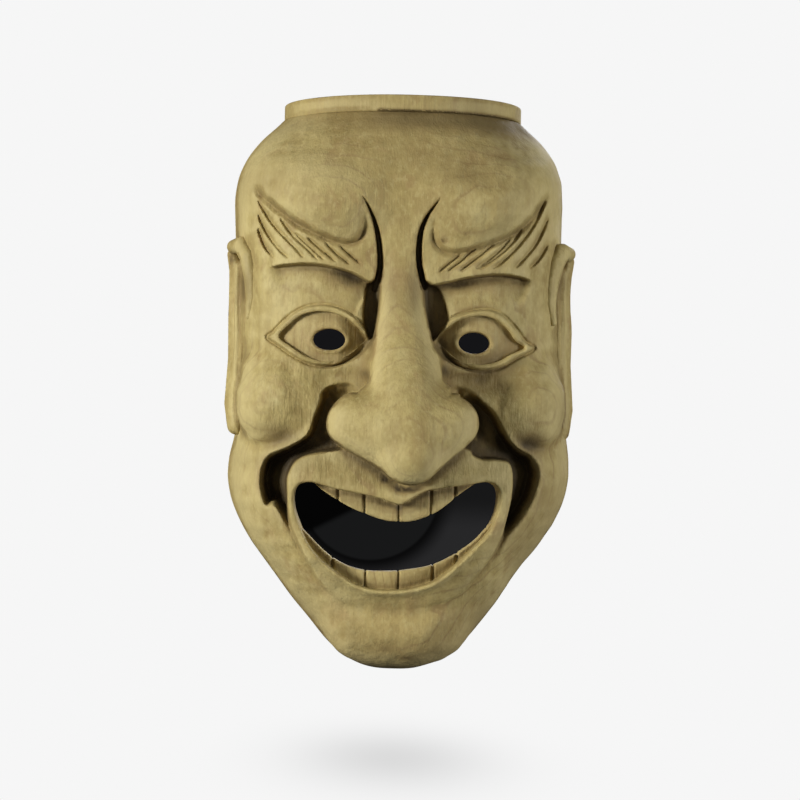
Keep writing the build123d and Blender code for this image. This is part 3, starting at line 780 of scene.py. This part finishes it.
def teeth(edge, cuts, upper):
    def prepared(sheet):
        d, side, _ = sheet.line(edge, AT_HAIR, reach=24)
        keep = -d * side if upper else d * side
        mouth = layer(sheet.area(MOUTH, AT_CREASE, reach=12))
        groove = np.zeros(sheet.x.shape)
        for cut, _ in drawn([(c, 0) for c in cuts], AT_HAIR):
            off = np.abs(sheet.x - cut)
            groove = np.maximum(groove, np.clip(1 - off / 0.8, 0, 1))
            keep = np.maximum(keep, 0.5 - off - np.maximum(-keep, 0) * 0.8)
        edge_drop = 0.5 * np.exp(np.minimum(keep, 0) / 1.4)
        keep, groove = layer(keep), layer(TOOTH_CUT * groove + edge_drop)

        def values(x, y, z, rows):
            front = plan(x, y, z) + (2.6 if upper else 3.4) + groove[rows]
            body = meet(front, keep[rows], 0.6)
            body = meet(body, mouth[rows] - 3.0, 0.4)
            return meet(body, behind_wall(x, y, z), 0.5)

        return values

    return prepared


def ear(s):
    def prepared(sheet):
        def values(x, y, z, rows):
            x = x * s + (2.3 + 1.0 * ease(z, 24, 46) if s < 0 else 1.7 + 1.6 * ease(z, 20, 40))
            body = chain(x, y, z, EAR_BODY)
            body = join(body, chain(x, y, z, EAR_STRIP), 2.2)
            body = join(body, chain(x, y, z, EAR_FOLD), 1.2)
            body = meet(body, -chain(x, y, z, EAR_HOLLOW), 0.8)
            return meet(body, -(plan(x * s, y, z) + 0.6), 0.3)

        return values

    return prepared


def sides(piece, field, near, far, low, high, slot, node):
    """The left and the right piece of a pair, between two distances from the middle."""
    pair = []
    for name, s in (("_left", -1), ("_right", 1)):
        a, b = sorted((s * near, s * far))
        pair.append(sculpt(piece + name, field(s), (a, *low), (b, *high), slot, node + name))
    return pair


FACE_LOW, FACE_HIGH = (-72, -101, -116), (72, 1, 109)
face_piece = sculpt("mask_face", face, FACE_LOW, FACE_HIGH, "face_wood", "face_shell")
RIM_BOX = (-52, -58, 105), (52, 1, 114)
rim_piece = sculpt("mask_crown_rim", crown, *RIM_BOX, "face_wood", "crown_rim")
eye_pieces = sides("mask_eye", eyeball, 10, 54, (-68, 2), (-34, 32), "eye_wood", "eyeball")
upper_teeth, lower_teeth = teeth(UPPER_EDGE, UPPER_CUTS, True), teeth(LOWER_EDGE, LOWER_CUTS, False)
UPPER_BOX, LOWER_BOX = ((-42, -76, -60), (42, -46, -34)), ((-42, -74, -92), (42, -36, -54))
upper_piece = sculpt("mask_upper_teeth", upper_teeth, *UPPER_BOX, "teeth_wood", "upper_teeth")
lower_piece = sculpt("mask_lower_teeth", lower_teeth, *LOWER_BOX, "teeth_wood", "lower_teeth")
ear_pieces = sides("mask_ear", ear, 56, 76, (-47, -27), (-18, 62), "face_wood", "ear")


# ---- wood
class Graph:
    """Short ways to write shader nodes."""

    def __init__(self, name):
        self.material = bpy.data.materials.new(name)
        self.material.use_nodes = True
        self.nodes, self.links = self.material.node_tree.nodes, self.material.node_tree.links
        self.shader = self.nodes["Principled BSDF"]

    def put(self, socket, value):
        if isinstance(value, bpy.types.NodeSocket):
            self.links.new(value, socket)
        else:
            socket.default_value = value

    def place(self, scale, shift=(0, 0, 0)):
        node = self.nodes.new("ShaderNodeMapping")
        where = self.nodes.new("ShaderNodeTexCoord").outputs["Object"]
        self.links.new(where, node.inputs["Vector"])
        node.inputs["Scale"].default_value = scale
        node.inputs["Location"].default_value = shift
        return node.outputs["Vector"]

    def noise(self, scale, shift=(0, 0, 0), detail=3.0, rough=0.5, bend=0.0):
        node = self.nodes.new("ShaderNodeTexNoise")
        self.links.new(self.place(scale, shift), node.inputs["Vector"])
        settings = {"Scale": 1.0, "Detail": detail, "Roughness": rough, "Distortion": bend}
        for name, value in settings.items():
            node.inputs[name].default_value = value
        return node.outputs["Fac"]

    def stored(self, name):
        node = self.nodes.new("ShaderNodeAttribute")
        node.attribute_name = name
        return node.outputs["Fac"]

    def math(self, kind, *values):
        node = self.nodes.new("ShaderNodeMath")
        node.operation = kind
        for socket, value in zip(node.inputs, values):
            self.put(socket, value)
        return node.outputs[0]

    def times(self, a, b):
        return self.math("MULTIPLY", a, b)

    def squares(self, a, b):
        return self.math("ADD", self.math("POWER", a, 2.0), self.math("POWER", b, 2.0))

    def step(self, value, low, high, out_low=0.0, out_high=1.0):
        node = self.nodes.new("ShaderNodeMapRange")
        node.interpolation_type = "SMOOTHSTEP"
        names = ("Value", "From Min", "From Max", "To Min", "To Max")
        for name, v in zip(names, (value, low, high, out_low, out_high)):
            self.put(node.inputs[name], v)
        return node.outputs["Result"]

    def mix(self, factor, a, b):
        node = self.nodes.new("ShaderNodeMix")
        node.data_type, node.blend_type = "RGBA", "MIX"
        self.put(node.inputs["Factor"], factor)
        for socket, value in zip((node.inputs[6], node.inputs[7]), (a, b)):
            self.put(socket, (*value, 1) if isinstance(value, tuple) else value)
        return node.outputs[2]

    def tint(self, colour, where, share, towards):
        """The colour, part of the way towards another where a value from 0 to 1 says."""
        return self.mix(self.times(where, share), colour, towards)

    def axis(self, where, n):
        node = self.nodes.new("ShaderNodeSeparateXYZ")
        self.links.new(where, node.inputs[0])
        return node.outputs[n]

    def finish(self, colour, rough, height, depth):
        self.put(self.shader.inputs["Base Color"], colour)
        self.put(self.shader.inputs["Roughness"], rough)
        self.shader.inputs["Specular IOR Level"].default_value = 0.22
        bump = self.nodes.new("ShaderNodeBump")
        bump.inputs["Distance"].default_value = depth
        bump.inputs["Strength"].default_value = 1.0
        self.links.new(height, bump.inputs["Height"])
        self.links.new(bump.outputs["Normal"], self.shader.inputs["Normal"])
        return self.material


def growth_rings(g, at, shift):
    """Thin lines where upright cylinders about a pith behind the mask meet its surface."""
    x, y = g.math("SUBTRACT", g.axis(at, 0), 0.012), g.math("SUBTRACT", g.axis(at, 1), 0.05)
    warp = g.noise((26, 26, 15), (7, shift, 0), 3.0, 0.5)
    reach = g.math("ADD", g.math("SQRT", g.squares(x, y)), g.times(warp, 0.011))
    saw = g.math("FRACT", g.times(reach, 1.0 / RING_PITCH))
    line = g.times(g.step(saw, 0.72, 0.9), g.step(saw, 1.0, 0.92))
    return g.times(line, g.step(g.noise((30, 30, 20), (2, 9, shift), 2.0), 0.42, 0.66))


def carved(name, light=LIGHT_WOOD, dark=DARK_WOOD, shift=0.0):
    g = Graph(name)
    at = g.place((1, 1, 1), (shift, 0, shift))
    cloud = g.noise((22, 22, 12), (shift, 3, 0), 4.0, 0.55, 0.4)
    mottle = g.noise((120, 120, 60), (shift, 0, 5), 3.0, 0.6)
    fibre = g.noise((1500, 1500, 70), (0, shift, 0), 2.0, 0.6)
    streak = g.noise((420, 420, 14), (shift, 0, 0), 2.0, 0.5)
    patch = g.noise((34, 34, 24), (shift, 8, 3), 4.0, 0.62, 0.6)
    blotch = g.noise((75, 75, 60), (4, shift, 9), 3.0, 0.6, 0.5)
    speck = g.noise((560, 560, 400), (shift, 1, 7), 2.0, 0.6)
    low = g.step(g.axis(at, 2), shift - 0.082, shift - 0.096)
    shade = tuple(0.66 * a + 0.34 * b for a, b in zip(light, dark))
    colour = g.mix(g.step(cloud, 0.34, 0.68), light, shade)
    for where, share, towards in (
        (g.step(patch, 0.48, 0.66), 0.75, (0.335, 0.25, 0.088)),
        (g.step(patch, 0.46, 0.32), 0.55, (0.57, 0.485, 0.225)),
        (g.step(blotch, 0.54, 0.68), 0.5, (0.35, 0.225, 0.095)),
        (low, 0.3, (0.36, 0.235, 0.085)),
        (g.step(mottle, 0.45, 0.68), 0.42, dark),
        (g.step(streak, 0.5, 0.72), 0.26, dark),
        (g.step(fibre, 0.56, 0.74), 0.38, dark),
        (growth_rings(g, at, shift), 0.6, (0.26, 0.165, 0.07)),
        (g.step(speck, 0.5, 0.7), 0.34, dark),
        (g.step(speck, 0.48, 0.32), 0.3, (0.6, 0.51, 0.238)),
        # ridges and pale patches lighter: wear and painted highlight
        (g.stored("wear_and_highlight"), 0.5, (0.66, 0.555, 0.265)),
    ):
        colour = g.tint(colour, where, share, towards)
    # the hollows' tone is dirt and painted shade; the deepest turn near black, soot and painted shadow
    soil_and_shade = g.stored("grime_and_shade")
    colour = g.mix(g.math("MINIMUM", g.times(soil_and_shade, 1.5), 0.8), colour, DIRT_AND_SHADE)
    colour = g.mix(g.step(soil_and_shade, 0.4, 1.0, 0.0, 0.9), colour, SOOT_AND_SHADOW)
    rough = g.step(mottle, 0.3, 0.7, 0.56, 0.7)
    tool = g.noise((170, 170, 90), (4, shift, 0), 2.0, 0.4)
    grain = g.noise((700, 700, 500), (0, 0, 1), 2.0)
    height = g.math("ADD", g.times(fibre, 0.3), g.times(tool, 1.0))
    return g.finish(colour, rough, g.math("ADD", height, g.times(grain, 0.35)), 0.0007)


def bamboo():
    g = Graph("split_bamboo")
    fibre = g.noise((2600, 2600, 90), detail=2.0, rough=0.6)
    colour = g.mix(g.step(fibre, 0.4, 0.7), (0.56, 0.42, 0.19), (0.33, 0.21, 0.085))
    return g.finish(colour, 0.42, fibre, 0.0001)


def spread(values, reach):
    """The largest value within about `reach` cells."""
    for axis in (0, 1):
        values = np.max([np.roll(values, k, axis) for k in range(-reach, reach + 1)], axis=0)
    return values


def blur(values, sigma):
    reach = int(3 * sigma) + 1
    kernel = np.exp(-0.5 * (np.arange(-reach, reach + 1) / sigma) ** 2)
    kernel /= kernel.sum()
    for axis in (0, 1):
        values = np.apply_along_axis(
            lambda row: np.convolve(np.pad(row, reach, "edge"), kernel, "valid"), axis, values
        )
    return values


def cavities():
    """How hollow and how ridged the front is, each 0 to 1, from the map of its depth; hollows carry dirt
    and painted shade, ridges wear and painted highlight.
    """
    solid = front_map > 1
    solidity = solid.astype(float)
    nearby = blur(np.where(solid, front_map, 0), 5 / STEP) / np.maximum(blur(solidity, 5 / STEP), 0.05)
    within = np.hypot(MAP_X[None, :] / 66, MAP_Z[:, None] / 112) < 0.9
    soft = blur(np.where(solid, front_map, np.where(within, nearby, 0)), 0.7 / STEP)
    hollow = sum(
        share * np.clip((blur(soft, size / STEP) - soft) / full, 0, 1) for size, full, share in HOLLOWS
    )
    ridge = np.clip((soft - blur(soft, 1.6 / STEP)) / 0.5, 0, 1)
    ridge = ridge * ease(blur(solidity, 1.2 / STEP), 0.8, 1.0)
    sheet = Sheet(MAP_X, MAP_Z)
    hollow = hollow + mounds(sheet.x, sheet.z, TONES)
    ridge = ridge + mounds(sheet.x, sheet.z, PALE)
    curls = curl_ends(sheet.x, sheet.z)
    hollow = np.maximum(hollow * (1 - 0.5 * curls), furrow_soot_and_shade(sheet) * (1 - 0.75 * curls))
    return np.clip(hollow, 0, 1) * solid, np.clip(ridge * (1 - curls), 0, 1) * solid


def stain_and_shade(piece, hollow, ridge):
    """Darkens the hollows of the front with dirt and painted shade and lightens its ridges with wear and
    painted highlight.
    """
    mesh = piece.data
    places, normals = (np.empty(len(mesh.vertices) * 3, np.float32) for _ in range(2))
    mesh.vertices.foreach_get("co", places)
    mesh.vertices.foreach_get("normal", normals)
    x, y, z = (places.reshape(-1, 3) * 1000).T
    nx, ny, nz = normals.reshape(-1, 3).T
    # read a little off the surface, so that a wall takes the tone at its foot
    cell = nearest(z + 0.7 * nz, MAP_Z), nearest(x + 0.7 * nx, MAP_X)
    seen = ease(-ny, -0.35, 0.05) * ease(front_map[cell] + y, 16.0, 9.0) * ease(-y, 18, 32)
    seen = seen * ease(highest[cell] + y, -0.3, 2.2 + 5.0 * ease(-ny, 0.55, 0.2))
    dark = hollow[cell] * seen
    if piece is face_piece:
        # painted shade under the rim, stronger towards the right, away from the key light
        under_rim = ease(z, 92, 104) * ease(108.5 - z, -1, 1)
        dark = np.maximum(dark, (0.22 + 0.4 * ease(x, -45, 5)) * under_rim)
    if piece is rim_piece:
        dark = np.maximum(dark, 0) + 0.14
    for name, tone in (("grime_and_shade", dark), ("wear_and_highlight", ridge[cell] * seen)):
        mesh.attributes.new(name, "FLOAT", "POINT").data.foreach_set("value", tone.astype(np.float32))


def dress(pieces, material):
    for piece in pieces:
        piece.data.materials.clear()
        piece.data.materials.append(material)


hollow, ridge = cavities()
highest = blur(spread(front_map, round(3 / STEP)), 1.5 / STEP)
for piece in [face_piece, rim_piece, upper_piece, lower_piece, *eye_pieces, *ear_pieces]:
    stain_and_shade(piece, hollow, ridge)
dress([face_piece, rim_piece, *ear_pieces], carved("carved_wood"))
dress(eye_pieces, carved("eye_wood", (0.47, 0.365, 0.15), (0.31, 0.215, 0.08), 0.3))
teeth_wood = carved("teeth_wood", (0.52, 0.415, 0.175), (0.34, 0.245, 0.095), 0.6)
dress([upper_piece, lower_piece], teeth_wood)
dress([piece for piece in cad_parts.values() if "pegs" in piece.name], bamboo())

# ---- stage: a pale floor with a painted shadow and backdrop, and a dark card of painted shade inside the hollow
scene = bpy.context.scene
BACKDROP = 0.922


def flat(name, corners):
    """A stage piece that only the camera sees."""
    mesh = bpy.data.meshes.new(name)
    mesh.from_pydata(corners, [], [tuple(range(len(corners)))])
    thing = bpy.data.objects.new(name, mesh)
    scene.collection.objects.link(thing)
    for ray in ("diffuse", "glossy", "transmission", "shadow"):
        setattr(thing, "visible_" + ray, False)
    return thing


def glow(name, build):
    g = Graph(name)
    g.nodes.remove(g.shader)
    light = g.nodes.new("ShaderNodeEmission")
    g.put(light.inputs["Color"], build(g))
    return g, light


def floor_tone_with_shadow(g):
    at = g.place((1, 1, 1))
    u = g.math("DIVIDE", g.axis(at, 0), 0.036)
    v = g.math("DIVIDE", g.math("ADD", g.axis(at, 1), 0.045), 0.075)
    # painted shadow: a soft dark ellipse on the floor under the mask
    shade = g.math("EXPONENT", g.times(g.squares(u, v), -0.9))
    return g.tint((BACKDROP,) * 3, shade, 0.34, (0.3, 0.3, 0.3))


floor = flat("floor", [(-6, -4, 0), (6, -4, 0), (6, 9, 0), (-6, 9, 0)])
floor.location.z = -0.15
g, light = glow("pale_floor_with_shadow", floor_tone_with_shadow)
g.links.new(light.outputs[0], g.nodes["Material Output"].inputs["Surface"])
floor.data.materials.append(g.material)


# the card is painted shade seen through the mouth and eyes, with the soft edge of a painted shadow across
# the mouth
def card_painted_shade(g):
    at = g.place((1, 1, 1))
    x, z = g.axis(at, 0), g.axis(at, 2)
    reach = g.math("SQRT", g.squares(g.math("ADD", x, 0.01), g.math("ADD", z, 0.0455)))
    tone = g.mix(g.step(reach, 0.0285, 0.037), (0.003, 0.003, 0.0031), (0.0205, 0.0205, 0.0215))
    tone = g.tint(tone, g.step(z, -0.062, -0.047), 0.7, (0.004, 0.004, 0.004))
    tone = g.mix(g.step(reach, 0.029, 0.0276), tone, (0.009, 0.0093, 0.0096))
    corner = g.math("ADD", z, g.times(x, -0.51))
    tone = g.mix(g.step(corner, -0.0465, -0.043), tone, (0.0014, 0.0014, 0.0014))
    return g.mix(g.step(z, -0.01, 0.0), tone, (0.0075, 0.0075, 0.0085))


heights = np.array([-100.0, -85, -65, -45, -25, 0, 30, 60, 80, 92])
left, right, _ = head_sizes(heights)
CARD_GAP = 11  # millimetres between the card and the head's outline
edge = [(-(w - CARD_GAP) / 1000, 0, h / 1000) for w, h in zip(left, heights)]
edge += [((w - CARD_GAP) / 1000, 0, h / 1000) for w, h in zip(right[::-1], heights[::-1])]
card = flat("painted_shade_card", edge[::-1])
card.location.y = -0.004
g, light = glow("painted_shade_card", card_painted_shade)
clear, pick = g.nodes.new("ShaderNodeBsdfTransparent"), g.nodes.new("ShaderNodeMixShader")
g.links.new(g.nodes.new("ShaderNodeNewGeometry").outputs["Backfacing"], pick.inputs[0])
g.links.new(light.outputs[0], pick.inputs[1])
g.links.new(clear.outputs[0], pick.inputs[2])
g.links.new(pick.outputs[0], g.nodes["Material Output"].inputs["Surface"])
card.data.materials.append(g.material)

world = bpy.data.worlds.new("studio")
scene.world = world
world.use_nodes = True
w_nodes, w_links = world.node_tree.nodes, world.node_tree.links
seen = w_nodes["Background"]
seen.inputs["Color"].default_value = (BACKDROP, BACKDROP, BACKDROP, 1)
room = w_nodes.new("ShaderNodeBackground")
room.inputs["Color"].default_value = (0.9, 0.93, 1.0, 1)
room.inputs["Strength"].default_value = 0.07
choose = w_nodes.new("ShaderNodeMixShader")
w_links.new(w_nodes.new("ShaderNodeLightPath").outputs["Is Camera Ray"], choose.inputs[0])
w_links.new(room.outputs[0], choose.inputs[1])
w_links.new(seen.outputs[0], choose.inputs[2])
w_links.new(choose.outputs[0], w_nodes["World Output"].inputs["Surface"])

# ---- camera and light
camera = bpy.data.objects.new("camera", bpy.data.cameras.new("camera"))
scene.collection.objects.link(camera)
scene.camera = camera
DISTANCE, AZIMUTH, ROLL = 1.05, math.radians(-2.0), math.radians(1.2)
SENSOR, VIEW_WIDTH, DROP = 36, 0.32, 0.0072
camera.data.sensor_width = SENSOR
camera.data.lens = SENSOR * DISTANCE / VIEW_WIDTH
target = Vector((0.00025, -0.04, -DROP))
camera.location = target + Vector((math.sin(AZIMUTH), -math.cos(AZIMUTH), 0.0)) * DISTANCE
camera.location.z += DROP
camera.rotation_mode = "QUATERNION"
aim = (target - camera.location).to_track_quat("-Z", "Y")
camera.rotation_quaternion = aim @ Quaternion((0, 0, 1), ROLL)
scene.view_settings.view_transform = "Standard"


def lamp(name, place, size, power, colour=(1, 1, 1), aim=(0, -0.05, -0.01)):
    data = bpy.data.lights.new(name, "AREA")
    data.size, data.energy, data.color = size, power, colour
    light = bpy.data.objects.new(name, data)
    light.location = place
    light.rotation_mode = "QUATERNION"
    light.rotation_quaternion = (Vector(aim) - Vector(place)).to_track_quat("-Z", "Y")
    scene.collection.objects.link(light)


lamp("key", (-1.28, -0.82, 0.22), 0.34, 23.5, (1.0, 0.99, 0.95))
lamp("fill", (1.28, -0.72, 0.08), 0.5, 12.0)
lamp("front", (-0.1, -1.7, 0.1), 0.5, 0.8)
lamp("back", (0.3, 1.2, 0.5), 0.8, 9)
